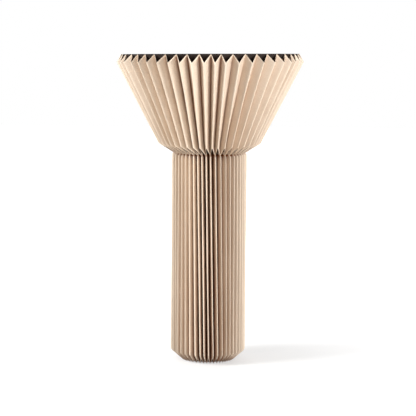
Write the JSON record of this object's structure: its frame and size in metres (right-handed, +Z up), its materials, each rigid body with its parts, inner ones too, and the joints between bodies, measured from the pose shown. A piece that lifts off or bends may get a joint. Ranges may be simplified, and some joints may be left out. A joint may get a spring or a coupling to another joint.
{
  "type": "floor lamp",
  "caption": "Floor lamp with a pleated card skin, a straight column that opens into a wide flared top, round an inner stand with a lamp holder and bulb.",
  "frame": {"origin": "on the floor, under the middle of the lamp", "axes": "+Z up along the lamp's axis; -Y is the pictured front, and the cord leaves at the back, +Y"},
  "size_m": [0.5628, 0.5628, 0.933],
  "materials": {
    "kraft_card": "matt, hand folded",
    "dark_band": "matt black board",
    "frame_wire": "matt powder coat",
    "cast_base": "painted",
    "stem_paint": "satin powder coat",
    "zinc_steel": "zinc plated",
    "brass": "turned",
    "black_rubber": "matt",
    "holder_resin": "moulded, satin",
    "porcelain": "glazed",
    "bulb_glass": "frosted",
    "bulb_metal": "rolled"
  },
  "bodies": {
    "stand": {"base_weight": "cast_base", "base_pads": "black_rubber", "cord_bush": "black_rubber", "foot_washer": "zinc_steel", "foot_nut": "zinc_steel", "foot_nipple": "brass", "foot_collar": "stem_paint", "stem": "stem_paint", "foot_plug": "brass", "head_plug": "brass", "head_nipple": "brass", "shade_carrier": "stem_paint", "holder_cap": "holder_resin", "holder_shell": "holder_resin", "holder_block": "porcelain", "holder_screw_shell": "brass", "holder_contact": "brass", "terminal_screws": "zinc_steel"},
    "switch": {"switch_shaft": "zinc_steel", "switch_knob": "holder_resin"},
    "bulb": {"bulb_globe": "bulb_glass", "bulb_cap": "bulb_metal", "bulb_collar": "holder_resin", "bulb_contact": "bulb_metal"},
    "shade": {"paper_sheet_1": "kraft_card", "paper_sheet_2": "kraft_card", "paper_sheet_3": "kraft_card", "paper_sheet_4": "kraft_card", "paper_sheet_5": "kraft_card", "paper_sheet_6": "kraft_card", "rim_band": "dark_band", "rim_hoop": "frame_wire", "frame_arms": "frame_wire", "hub_ring": "frame_wire", "neck_hoop": "frame_wire", "foot_hoop": "frame_wire"}
  },
  "joints": [
    {"name": "shade_lift", "type": "slide", "parent": "stand", "child": "shade", "axis": [0, 0, 1], "range_m": [0, 0.8]},
    {"name": "switch_turn", "type": "hinge", "parent": "stand", "child": "switch", "pos_m": [0.02, 0, 0.667], "axis": [1, 0, 0], "continuous": true},
    {"name": "bulb_turn", "type": "hinge", "parent": "stand", "child": "bulb", "pos_m": [0, 0, 0.69], "axis": [0, 0, 1], "range_deg": [0, 360]}
  ]
}
